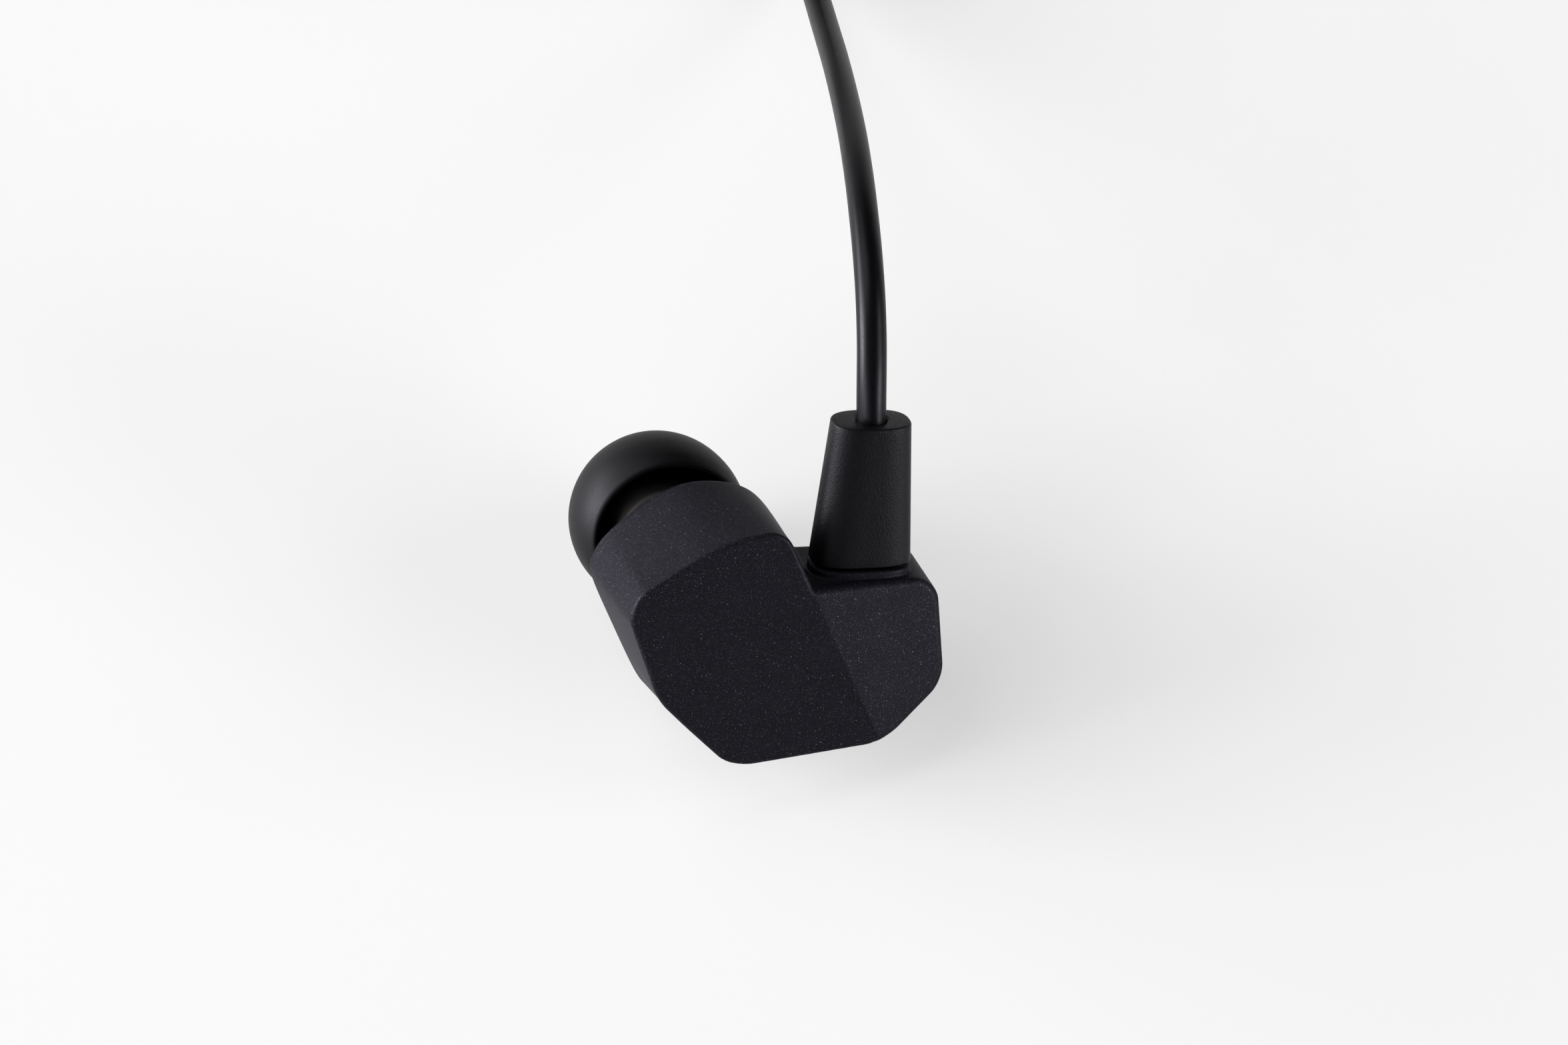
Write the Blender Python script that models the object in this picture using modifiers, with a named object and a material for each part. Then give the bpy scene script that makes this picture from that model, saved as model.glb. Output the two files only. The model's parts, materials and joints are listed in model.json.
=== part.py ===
"""In-ear monitor: one earpiece with its ear tip, plug-in cable, coil and audio plug.

Metres, +Z up. The earpiece lies on a table on its ear tip, the rim of its barrel and the back of its
socket block, with its flat face up. The origin is on the table under the middle of the earpiece.
Inside the earpiece a design frame is used: +X to the right across the face, +Y from the face to the
ear tip, +Z up along the cable connector. The face lies in the plane y = 0.
"""

from math import atan2, cos, pi, radians, sin

import bmesh
import bpy
from mathutils import Matrix, Vector

MM = 0.001
GAP = 0.3 * MM

# How the earpiece lies on the table
EARPIECE_YAW = 18.1
EARPIECE_DIP = 34.5
EARPIECE_ROLL = 15.0
EARPIECE_PLACE = Vector((-0.46, -6.73, 11.92)) * MM

# Casing: a many-sided flat face that runs back into a barrel, round but for two flats.
# A side is the direction that it faces, in degrees, and its distance from the axis in millimetres.
CASING_X = -1.3 * MM
CASING_Z = -0.15 * MM
FACE_SIDES = ((26, 6.85), (101, 8.15), (124, 7.1), (201, 5.7), (225, 6.1), (256, 8.55), (277, 9.4))
FACE_CORNER_POWER = 44
FACE_SETBACK = 1.0 * MM
RIM_FLATS = ((207, 6.24), (41, 7.33))
RIM_CORNER_POWER = 60
RIM_RADIUS = 8.1 * MM
RIM_DEPTH = 9.5 * MM
LOFT_POINTS = 72
LOFT_SECTIONS = 5

# Bore in the barrel, and the front cover that closes it
BORE_X = -0.9 * MM
BORE_Z = 0.2 * MM
BORE_RADIUS = 5.5 * MM
BORE_FLOOR = 1.4 * MM
COVER_Y = RIM_DEPTH + GAP
COVER_DOME = ((0.97, 0.0), (0.925, 0.35), (0.77, 0.95), (0.45, 1.4), (0.1, 1.6))
COVER_SPIGOT = 1.0 * MM
COVER_CAVITY = (4.5 * MM, 0.3 * MM)
VENT_PLACE = (2.0 * MM, 2.6 * MM, 0)
VENT_RADIUS = 1.0 * MM

# Socket block on the right of the barrel, with the platform that the connector stands on
PLATFORM_Z = 3.67 * MM
BLOCK_CORNERS = ((1.5, 3.67, 0), (13.5, 3.67, 1.3), (14.9, -3.8, 1.4), (10.4, -8.0, 0.3), (3.0, -6.0, 0))
BLOCK_TURN = (0.156, 0.077)
BLOCK_HINGE = (4.38 * MM, 3.67 * MM)
BLOCK_BACK = 7.2 * MM
BLOCK_BACK_SLOPE = -0.08
BLOCK_BACK_CHAMFER = 0.5 * MM

# Cable connector and its socket
CONNECTOR_X = 8.6 * MM
CONNECTOR_Y = 3.5 * MM
LIP_SIZE = (7.1 * MM, 4.0 * MM)
LIP_HEIGHT = 0.45 * MM
GROOVE = 0.35 * MM
CONNECTOR_FOOT = (6.9 * MM, 3.8 * MM)
CONNECTOR_HEAD = (5.25 * MM, 3.5 * MM)
CONNECTOR_TOP = 14.8 * MM
CONNECTOR_ROUNDING = 0.45 * MM
SOCKET_POCKET = (5.9 * MM, 2.9 * MM)
SOCKET_FLOOR = -2.2 * MM
SOCKET_BODY = (5.3 * MM, 2.3 * MM)
PIN_PITCH = 2.6 * MM
PIN_RADIUS = 0.36 * MM
CONTACT_RADII = (0.47 * MM, 0.62 * MM)
CONTACT_HOLE = 0.8 * MM
WIRE_RADIUS = 0.2 * MM
WIRE_CHANNEL_RADIUS = 1.0 * MM
WIRE_CHANNEL_Z = -1.3 * MM

# Driver: profiles as (radius, height above the bore's start) in millimetres
BOARD_SIZE = (3.8 * MM, 2.6 * MM)
BOARD_SPAN = (1.75 * MM, 2.1 * MM)
YOKE_PROFILE = ((0, 3.0), (2.45, 3.0), (2.45, 5.0), (2.9, 5.0), (2.9, 2.4), (0, 2.4))
MAGNET_PROFILE = ((0, 4.2), (1.75, 4.2), (1.75, 3.3), (0, 3.3))
TOP_PLATE_PROFILE = ((0, 5.0), (1.75, 5.0), (1.75, 4.5), (0, 4.5))
VOICE_COIL_PROFILE = ((2.22, 6.1), (2.22, 4.4), (2.0, 4.4), (2.0, 6.1))
FRAME_PROFILE = ((5.15, 6.9), (5.15, 4.2), (3.2, 4.2), (3.2, 5.0), (4.65, 5.0), (4.65, 6.9))
PAPER_PROFILE = ((5.0, 3.85), (5.0, 3.7), (3.3, 3.7), (3.3, 3.85))
DIAPHRAGM_TOP = ((0, 7.0), (1.1, 6.9), (2.1, 6.5), (3.3, 6.85), (4.4, 6.5))
DIAPHRAGM_THICKNESS = 0.14
DRIVER_CAP_PROFILE = ((5.05, 7.8), (5.05, 7.4), (1.7, 7.4), (1.7, 7.8))
GASKET_PROFILE = ((5.2, 8.5), (5.2, 8.1), (4.4, 8.1), (4.4, 8.5))

# Nozzle and ear tip, on one axis beside the barrel's
NOZZLE_X = -2.95 * MM
NOZZLE_Z = 2.65 * MM
NOZZLE_RADII = (1.9 * MM, 2.4 * MM)
NOZZLE_LIP = 2.65 * MM
NOZZLE_SPAN = (9.9 * MM, 19.2 * MM)
DAMPER_SPAN = (13.0 * MM, 15.0 * MM)
COVER_HOLE = 2.8 * MM
TIP_RADIUS = 6.15 * MM
TIP_CENTRE_Y = 15.0 * MM
TIP_SKIRT = (5.5 * MM, 12.1 * MM)
TIP_WALL = 0.65 * MM
CORE_RADII = (2.8 * MM, 3.4 * MM)
CORE_SPAN = (12.8 * MM, 20.1 * MM)

# Cable: the route's points are chosen by hand, on the table at its far end
CABLE_RADIUS = 0.98 * MM
CABLE_HOLE = 1.3 * MM
LEAD_ROUTE = (
    (7.98, 5.56, 18.92), (8.02, 6.28, 19.88), (8.02, 7.27, 21.0), (8.03, 8.57, 22.15),
    (8.04, 10.07, 23.1), (8.01, 11.77, 23.8), (7.95, 13.57, 24.2), (7.85, 15.67, 24.3),
    (7.72, 17.97, 24.1), (7.56, 20.47, 23.6), (7.39, 23.17, 22.7), (7.17, 26.27, 21.4),
    (6.92, 29.67, 19.6), (6.59, 33.57, 17.2), (6.2, 37.87, 14.3), (5.75, 42.47, 11.0),
    (5.2, 47.37, 7.5), (4.6, 52.2, 4.4), (3.9, 56.6, 2.3), (3.35, 60.2, 1.35), (3.05, 63.6, 1.1),
    (2.92, 67.0, 1.1), (2.9, 70.2, 1.1),
)
TAIL_ROUTE = (
    (1.0, 67.4, 7.1), (3.1, 68.1, 6.5), (5.2, 69.3, 5.8), (7.0, 71.0, 5.0), (8.2, 73.1, 4.3),
    (8.85, 75.5, 3.75), (9.0, 77.7, 3.5),
)
ROUTE_STEP = 4.4 * MM
COIL_PLACE = (-11.5 * MM, 79.0 * MM)
COIL_RADII = (7.4 * MM, 15.6 * MM)
COIL_HEIGHTS = (0.8 * MM, 9.0 * MM)
TIE_ANGLE = 205
TIE_WIDTH = 5.0 * MM
TIE_THICKNESS = 0.5 * MM

# Audio plug beside the coil, lying along +Y
PLUG_PLACE = Vector((9.0, 78.0, 3.45)) * MM
PLUG_RELIEF = (1.5 * MM, 2.5 * MM, 6.5 * MM)
PLUG_BARREL = (3.3 * MM, 14.0 * MM)
PLUG_SHAFT_RADIUS = 1.75 * MM
PLUG_RING_RADIUS = 1.6 * MM
PLUG_SEAM = 0.1 * MM
PLUG_LENGTHS = (
    ("plug_sleeve", 6.4), ("plug_insulator_rear", 0.7), ("plug_ring", 2.6), ("plug_insulator_front", 0.7),
)
PLUG_TIP_PROFILE = (
    (0.0, 3.5), (0.5, 3.45), (1.1, 3.0), (1.6, 2.1), (1.65, 1.7), (1.2, 0.9), (1.2, 0.0), (0.0, 0.0),
)


def clear_scene():
    for thing in list(bpy.data.objects):
        bpy.data.objects.remove(thing, do_unlink=True)


def new_collection(name):
    made = bpy.data.collections.new(name)
    bpy.context.scene.collection.children.link(made)
    return made


clear_scene()
PARTS = new_collection("in_ear_monitor")
CUTTERS = new_collection("cutters")


def make_material(name, color, roughness, metallic=0.0):
    made = bpy.data.materials.new(name)
    made.use_nodes = True
    shader = made.node_tree.nodes["Principled BSDF"]
    shader.inputs["Base Color"].default_value = (*color, 1.0)
    shader.inputs["Roughness"].default_value = roughness
    shader.inputs["Metallic"].default_value = metallic
    return made


CASING = make_material("casing_black", (0.014, 0.013, 0.017), 0.55)
CONNECTOR_RESIN = make_material("connector_black", (0.012, 0.012, 0.012), 0.5)
JACKET = make_material("cable_jacket", (0.012, 0.012, 0.013), 0.4)
SILICONE = make_material("silicone_black", (0.012, 0.012, 0.013), 0.6)
CORE_SILICONE = make_material("silicone_core", (0.05, 0.04, 0.035), 0.6)
BRASS = make_material("brass", (0.60, 0.42, 0.16), 0.3, 1.0)
GOLD = make_material("gold_plate", (0.85, 0.60, 0.24), 0.22, 1.0)
STEEL = make_material("steel", (0.45, 0.45, 0.46), 0.35, 1.0)
MAGNET = make_material("magnet_plate", (0.50, 0.50, 0.52), 0.3, 1.0)
FILM = make_material("diaphragm_film", (0.55, 0.50, 0.38), 0.4)
COPPER = make_material("copper_wire", (0.65, 0.28, 0.12), 0.35, 1.0)
PAPER = make_material("damping_paper", (0.62, 0.60, 0.54), 0.9)
FOAM = make_material("foam", (0.05, 0.05, 0.05), 0.95)
BOARD = make_material("board_green", (0.02, 0.12, 0.05), 0.5)
WIRE_RED = make_material("wire_red", (0.45, 0.02, 0.02), 0.45)
WIRE_BLACK = make_material("wire_black", (0.02, 0.02, 0.02), 0.45)
RESIN = make_material("socket_resin", (0.02, 0.02, 0.022), 0.5)
HOOK_TAPE = make_material("hook_tape", (0.015, 0.015, 0.016), 0.9)


def add_empty(name, parent=None):
    made = bpy.data.objects.new(name, None)
    PARTS.objects.link(made)
    made.parent = parent
    return made


EARPIECE = add_empty("earpiece_pose")
EARPIECE.rotation_mode = "YXZ"
EARPIECE.rotation_euler = (radians(-EARPIECE_DIP), radians(EARPIECE_ROLL), radians(EARPIECE_YAW))
EARPIECE.location = EARPIECE_PLACE
BARREL = add_empty("barrel_axis", EARPIECE)
BARREL.location = (BORE_X, 0, BORE_Z)
BARREL.rotation_euler = (radians(-90), 0, 0)
NOZZLE = add_empty("nozzle_axis", EARPIECE)
NOZZLE.location = (NOZZLE_X, 0, NOZZLE_Z)
NOZZLE.rotation_euler = (radians(-90), 0, 0)
CONNECTOR = add_empty("connector_axis", EARPIECE)
CONNECTOR.location = (CONNECTOR_X, CONNECTOR_Y, 0)
PLUG = add_empty("plug_axis")
PLUG.location = PLUG_PLACE
PLUG.rotation_euler = (radians(-90), 0, 0)


def add_part(name, data, material, parent=None, smooth=35):
    """An object of the model, with its material and its parent."""
    made = bpy.data.objects.new(name, data)
    PARTS.objects.link(made)
    made.parent = parent
    data.materials.append(material)
    if isinstance(data, bpy.types.Mesh):
        data.shade_smooth()
        data.set_sharp_from_angle(angle=radians(smooth))
    return made


def add_cutter(name, data, parent=None):
    made = bpy.data.objects.new(name, data)
    CUTTERS.objects.link(made)
    made.parent = parent
    made.hide_render = True
    made.display_type = "WIRE"
    return made


def combine(target, other, operation):
    step = target.modifiers.new(f"{operation.lower()} {other.name}", "BOOLEAN")
    step.operation = operation
    step.object = other


def mesh_from(name, build):
    """A mesh that a bmesh function fills, with its faces pointing out."""
    work = bmesh.new()
    build(work)
    bmesh.ops.recalc_face_normals(work, faces=work.faces)
    made = bpy.data.meshes.new(name)
    work.to_mesh(made)
    work.free()
    return made


def cylinder_mesh(name, radius, low, high, sides=48):
    """A round bar along Z."""
    def build(work):
        place = Matrix.Translation((0, 0, (low + high) / 2))
        length = high - low
        bmesh.ops.create_cone(
            work, cap_ends=True, segments=sides, radius1=radius, radius2=radius, depth=length, matrix=place
        )
    return mesh_from(name, build)


def box_mesh(name, low, high):
    def build(work):
        size = Vector(high) - Vector(low)
        middle = (Vector(high) + Vector(low)) / 2
        place = Matrix.Translation(middle) @ Matrix.Diagonal((*size, 1))
        bmesh.ops.create_cube(work, size=1, matrix=place)
    return mesh_from(name, build)


def loft_mesh(name, rings):
    """A closed skin through rings of points, with a flat cap at each end."""
    def build(work):
        rows = [[work.verts.new(point) for point in ring] for ring in rings]
        count = len(rows[0])
        for row, following in zip(rows, rows[1:]):
            for i in range(count):
                j = (i + 1) % count
                work.faces.new((row[i], row[j], following[j], following[i]))
        work.faces.new(rows[0])
        work.faces.new(rows[-1])
    return mesh_from(name, build)


def turned(name, profile, material, parent, steps=40):
    """A turned piece about its parent's Z axis. The profile runs down its outer side, top to bottom."""
    data = bpy.data.meshes.new(name)
    points = [(radius, 0, height) for radius, height in profile]
    closed = profile[0][0] > 0
    edges = [(i, i + 1) for i in range(len(points) - 1)]
    if closed:
        edges.append((len(points) - 1, 0))
    data.from_pydata(points, edges, [])
    made = add_part(name, data, material, parent)
    spin = made.modifiers.new("turn", "SCREW")
    spin.steps = steps
    spin.render_steps = steps
    spin.use_merge_vertices = True
    spin.merge_threshold = 0.00001
    spin.use_smooth_shade = True
    return made


def disc(name, radius, low, high, material, parent, steps=40):
    return turned(name, [(0, high), (radius, high), (radius, low), (0, low)], material, parent, steps)


def ring(name, inner, outer, low, high, material, parent, steps=40):
    profile = [(outer, high), (outer, low), (inner, low), (inner, high)]
    return turned(name, profile, material, parent, steps)


def oval(size, count=40):
    """The points of a flat-sided oval about the origin, in X and Y."""
    width, depth = size
    bend = depth / 2
    straight = width / 2 - bend
    points = []
    for i in range(count):
        angle = 2 * pi * (i + 0.5) / count
        side = straight if cos(angle) > 0 else -straight
        points.append((side + bend * cos(angle), bend * sin(angle)))
    return points


def oval_mesh(name, size, low, high, count=40):
    points = oval(size, count)
    return loft_mesh(name, [[(x, y, z) for x, y in points] for z in (low, high)])


def smooth_points(route, step):
    """Points at even steps on a smooth curve through a route's points."""
    line = [Vector(point) * MM for point in route]
    ends = [2 * line[0] - line[1], *line, 2 * line[-1] - line[-2]]
    fine = []
    for before, start, end, after in zip(ends, ends[1:], ends[2:], ends[3:]):
        for k in range(12):
            t = k / 12
            pull = (end - before) * t
            bend = (2 * before - 5 * start + 4 * end - after) * t * t
            lift = (3 * start - before - 3 * end + after) * t ** 3
            fine.append(start + (pull + bend + lift) / 2)
    fine.append(line[-1])
    length = sum((b - a).length for a, b in zip(fine, fine[1:]))
    count = max(2, round(length / step))
    kept = [fine[0]]
    walked = 0.0
    for a, b in zip(fine, fine[1:]):
        walked += (b - a).length
        if walked >= length / count and len(kept) < count:
            kept.append(b)
            walked = 0.0
    kept.append(fine[-1])
    return kept


def tube(name, points, radius, material, parent=None):
    data = bpy.data.curves.new(name, "CURVE")
    data.dimensions = "3D"
    data.bevel_depth = radius
    data.bevel_resolution = 2
    data.use_fill_caps = True
    line = data.splines.new("POLY")
    line.points.add(len(points) - 1)
    for place, point in zip(line.points, points):
        place.co = (*point, 1)
    return add_part(name, data, material, parent)


def soft_reach(angle, sides, power, start=0.0):
    """How far an outline of flat sides reaches from its axis, in metres, with its corners rounded."""
    total = start
    for turn, reach in sides:
        facing = cos(angle - radians(turn))
        if facing > 0:
            total += (facing / reach) ** power
    return MM * total ** (-1 / power)


def face_reach(angle):
    return soft_reach(angle, FACE_SIDES, FACE_CORNER_POWER)


def rim_reach(angle):
    circle = (MM / RIM_RADIUS) ** RIM_CORNER_POWER
    return soft_reach(angle, RIM_FLATS, RIM_CORNER_POWER, circle)


def casing_section(depth, reach_at):
    """A ring of points about the casing's axis at one depth."""
    section = []
    for i in range(LOFT_POINTS):
        angle = 2 * pi * i / LOFT_POINTS
        reach = reach_at(angle)
        section.append((CASING_X + reach * cos(angle), depth, CASING_Z + reach * sin(angle)))
    return section


def casing_rings():
    """Sections of the casing from in front of its face to the rim of its barrel."""
    depths = [-FACE_SETBACK] + [RIM_DEPTH * i / LOFT_SECTIONS for i in range(1, LOFT_SECTIONS + 1)]
    rings = []
    for depth in depths:
        share = depth / RIM_DEPTH

        def reach_at(angle):
            return face_reach(angle) * (1 - share) + rim_reach(angle) * share

        rings.append(casing_section(depth, reach_at))
    return rings


def rounded_outline(corners, arc_steps=4):
    """Corner points (x, z, radius) in millimetres, as an outline with round corners."""
    points = [Vector((x, z)) * MM for x, z, _ in corners]
    outline = []
    for i, (_, _, radius) in enumerate(corners):
        corner = points[i]
        if radius == 0:
            outline.append(corner)
            continue
        before = (points[i - 1] - corner).normalized()
        after = (points[(i + 1) % len(points)] - corner).normalized()
        half = before.angle(after) / 2
        centre = corner + (before + after).normalized() * (radius * MM / sin(half))
        start = corner + before * (radius * MM * cos(half) / sin(half)) - centre
        end = corner + after * (radius * MM * cos(half) / sin(half)) - centre
        first = atan2(start.y, start.x)
        sweep = (atan2(end.y, end.x) - first + pi) % (2 * pi) - pi
        for k in range(arc_steps + 1):
            angle = first + sweep * k / arc_steps
            outline.append(centre + Vector((cos(angle), sin(angle))) * radius * MM)
    return outline


def block_rings():
    """Sections of the socket block: its slanted front, the start of its back chamfer and its back."""
    outline = rounded_outline(BLOCK_CORNERS)
    middle = sum(outline, Vector((0, 0))) / len(outline)
    rings = [[], [], []]
    for point in outline:
        x, z = point
        front = BLOCK_TURN[0] * (x - BLOCK_HINGE[0]) + BLOCK_TURN[1] * (z - BLOCK_HINGE[1])
        back = BLOCK_BACK + BLOCK_BACK_SLOPE * (PLATFORM_Z - z)
        inward = point + (middle - point).normalized() * BLOCK_BACK_CHAMFER
        rings[0].append((x, front, z))
        rings[1].append((x, back - BLOCK_BACK_CHAMFER, z))
        rings[2].append((inward.x, back, inward.y))
    return rings


def make_casing():
    shell = add_part("rear_shell", loft_mesh("rear_shell", casing_rings()), CASING, EARPIECE)
    block = add_cutter("block_form", loft_mesh("block_form", block_rings()), EARPIECE)
    lip_top = PLATFORM_Z + LIP_HEIGHT
    lip = add_cutter("lip_form", oval_mesh("lip_form", LIP_SIZE, PLATFORM_Z - 1 * MM, lip_top), CONNECTOR)
    face_low = (-30 * MM, -10 * MM, -30 * MM)
    face_cut = add_cutter("face_cut", box_mesh("face_cut", face_low, (30 * MM, 0, 30 * MM)), EARPIECE)
    bore_end = RIM_DEPTH + 2 * MM
    bore = add_cutter("bore_cut", cylinder_mesh("bore_cut", BORE_RADIUS, BORE_FLOOR, bore_end), BARREL)
    pocket_mesh = oval_mesh("pocket_cut", SOCKET_POCKET, SOCKET_FLOOR, lip_top + 1 * MM)
    pocket = add_cutter("pocket_cut", pocket_mesh, CONNECTOR)
    channel_mesh = cylinder_mesh("channel_cut", WIRE_CHANNEL_RADIUS, -6 * MM, 0, 16)
    channel = add_cutter("channel_cut", channel_mesh, EARPIECE)
    channel.location = (CONNECTOR_X, CONNECTOR_Y, WIRE_CHANNEL_Z)
    channel.rotation_euler = (0, radians(90), 0)
    combine(shell, block, "UNION")
    combine(shell, lip, "UNION")
    for cutter in (face_cut, bore, pocket, channel):
        combine(shell, cutter, "DIFFERENCE")


def make_front_cover():
    """A shallow dome on the rim, with a spigot in the bore, a hole for the nozzle and a vent."""
    rings = []
    for scale, height in COVER_DOME:
        rings.append(casing_section(COVER_Y + height * MM, lambda angle: scale * rim_reach(angle)))
    cover = add_part("front_cover", loft_mesh("front_cover", rings), CASING, EARPIECE)
    foot = COVER_Y - COVER_SPIGOT
    spigot = cylinder_mesh("spigot_form", BORE_RADIUS - GAP, foot, COVER_Y + 0.2 * MM)
    combine(cover, add_cutter("spigot_form", spigot, BARREL), "UNION")
    cavity_radius, cavity_rise = COVER_CAVITY
    cavity = cylinder_mesh("cavity_cut", cavity_radius, foot - 1 * MM, COVER_Y + cavity_rise)
    combine(cover, add_cutter("cavity_cut", cavity, BARREL), "DIFFERENCE")
    hole = cylinder_mesh("nozzle_hole_cut", COVER_HOLE, foot - 2 * MM, COVER_Y + 4 * MM, 40)
    combine(cover, add_cutter("nozzle_hole_cut", hole, NOZZLE), "DIFFERENCE")
    vent = cylinder_mesh("vent_cut", VENT_RADIUS, foot - 2 * MM, COVER_Y + 4 * MM, 20)
    vent_cut = add_cutter("vent_cut", vent, BARREL)
    vent_cut.location = VENT_PLACE
    combine(cover, vent_cut, "DIFFERENCE")
    mesh_low = COVER_Y + 0.7 * MM
    mesh = disc("vent_mesh", VENT_RADIUS - 0.2 * MM, mesh_low, mesh_low + 0.2 * MM, STEEL, BARREL, 20)
    mesh.location = VENT_PLACE


def make_nozzle():
    inner, outer = NOZZLE_RADII
    low, high = NOZZLE_SPAN
    profile = [
        (outer, high), (NOZZLE_LIP, high - 0.35 * MM), (NOZZLE_LIP, high - 0.8 * MM),
        (outer, high - 1.15 * MM), (outer, low), (inner, low), (inner, high),
    ]
    turned("nozzle", profile, BRASS, NOZZLE)
    disc("nozzle_mesh", inner - 0.15 * MM, high - 0.45 * MM, high - 0.25 * MM, STEEL, NOZZLE, 32)
    disc("nozzle_damper", inner - GAP, *DAMPER_SPAN, FOAM, NOZZLE, 24)


def make_eartip():
    """The soft dome is a ball in front and draws in to its skirt behind; the core grips the nozzle."""
    arc_steps = 9
    inside = TIP_RADIUS - TIP_WALL
    hole = CORE_RADII[1] + GAP
    skirt_radius, skirt_y = TIP_SKIRT

    def arc(radius, end_radius):
        """From the hole in front to the widest place, on a ball about the tip's centre."""
        first = pi / 2 - atan2((radius ** 2 - end_radius ** 2) ** 0.5, end_radius)
        points = []
        for k in range(arc_steps + 1):
            angle = first + (pi / 2 - first) * k / arc_steps
            points.append((radius * sin(angle), TIP_CENTRE_Y + radius * cos(angle)))
        return points

    bulge = TIP_RADIUS - 0.15 * MM
    outer_side = arc(TIP_RADIUS, hole) + [(bulge, 13.4 * MM), (skirt_radius + 0.1 * MM, skirt_y + 0.1 * MM)]
    skirt_end = [(skirt_radius - 0.15 * MM, skirt_y), (skirt_radius - 0.35 * MM, skirt_y + 0.15 * MM)]
    inner_side = [(bulge - TIP_WALL, 13.5 * MM)] + arc(inside, hole)[::-1]
    turned("eartip_dome", outer_side + skirt_end + inner_side, SILICONE, NOZZLE, 48)
    core_inner, core_outer = CORE_RADII
    core_low, core_high = CORE_SPAN
    profile = [
        (core_outer - 0.2 * MM, core_high), (core_outer, core_high - 0.3 * MM), (core_outer, core_low),
        (core_inner, core_low), (core_inner, core_high),
    ]
    turned("eartip_core", profile, CORE_SILICONE, NOZZLE)


def make_driver():
    """The moving-coil driver in the barrel, from its terminal board forward to its gasket."""
    half = Vector(BOARD_SIZE) / 2
    low, high = BOARD_SPAN
    board = box_mesh("terminal_board", (-half.x, -half.y, low), (half.x, half.y, high))
    add_part("terminal_board", board, BOARD, BARREL)
    film_back = [(radius, height - DIAPHRAGM_THICKNESS) for radius, height in DIAPHRAGM_TOP]
    turned_pieces = (
        ("magnet_yoke", YOKE_PROFILE, STEEL),
        ("magnet", MAGNET_PROFILE, MAGNET),
        ("top_plate", TOP_PLATE_PROFILE, STEEL),
        ("voice_coil", VOICE_COIL_PROFILE, COPPER),
        ("driver_frame", FRAME_PROFILE, BRASS),
        ("damping_paper", PAPER_PROFILE, PAPER),
        ("diaphragm", [*DIAPHRAGM_TOP, *film_back[::-1]], FILM),
        ("driver_cap", DRIVER_CAP_PROFILE, BRASS),
        ("driver_gasket", GASKET_PROFILE, FOAM),
    )
    for name, profile, material in turned_pieces:
        turned(name, [(radius * MM, height * MM) for radius, height in profile], material, BARREL)


def make_socket():
    low = -0.6 * MM
    high = PLATFORM_Z + LIP_HEIGHT - 0.15 * MM
    body = add_part("socket_body", oval_mesh("socket_body", SOCKET_BODY, low, high, 32), RESIN, CONNECTOR)
    inner, outer = CONTACT_RADII
    wires = (("left", -1, WIRE_RED), ("right", 1, WIRE_BLACK))
    for side, sign, color in wires:
        x = sign * PIN_PITCH / 2
        hole = cylinder_mesh(f"contact_hole_{side}", CONTACT_HOLE, low - 1 * MM, high + 1 * MM, 20)
        cutter = add_cutter(f"contact_hole_{side}", hole, CONNECTOR)
        cutter.location = (x, 0, 0)
        combine(body, cutter, "DIFFERENCE")
        contact = ring(f"socket_contact_{side}", inner, outer, -0.7 * MM, 3.4 * MM, GOLD, CONNECTOR, 16)
        contact.location = (x, 0, 0)
        pin = disc(f"connector_pin_{side}", PIN_RADIUS, 0.3 * MM, 8.0 * MM, GOLD, CONNECTOR, 16)
        pin.location = (x, 0, 0)
        swing = sign * 0.4
        route = (
            (1.3, 1.93, 0.65 * sign - 0.1), (2.6, 2.3 + swing / 2, -0.8), (4.0, 3.3 + swing, -1.2),
            (7.0, 3.5 + swing, -1.5), (8.45 + 1.15 * sign, 3.5, -1.35), (8.6 + 1.3 * sign, 3.5, -1.0),
        )
        tube(f"driver_wire_{side}", smooth_points(route, 1.2 * MM), WIRE_RADIUS, color, EARPIECE)


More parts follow.
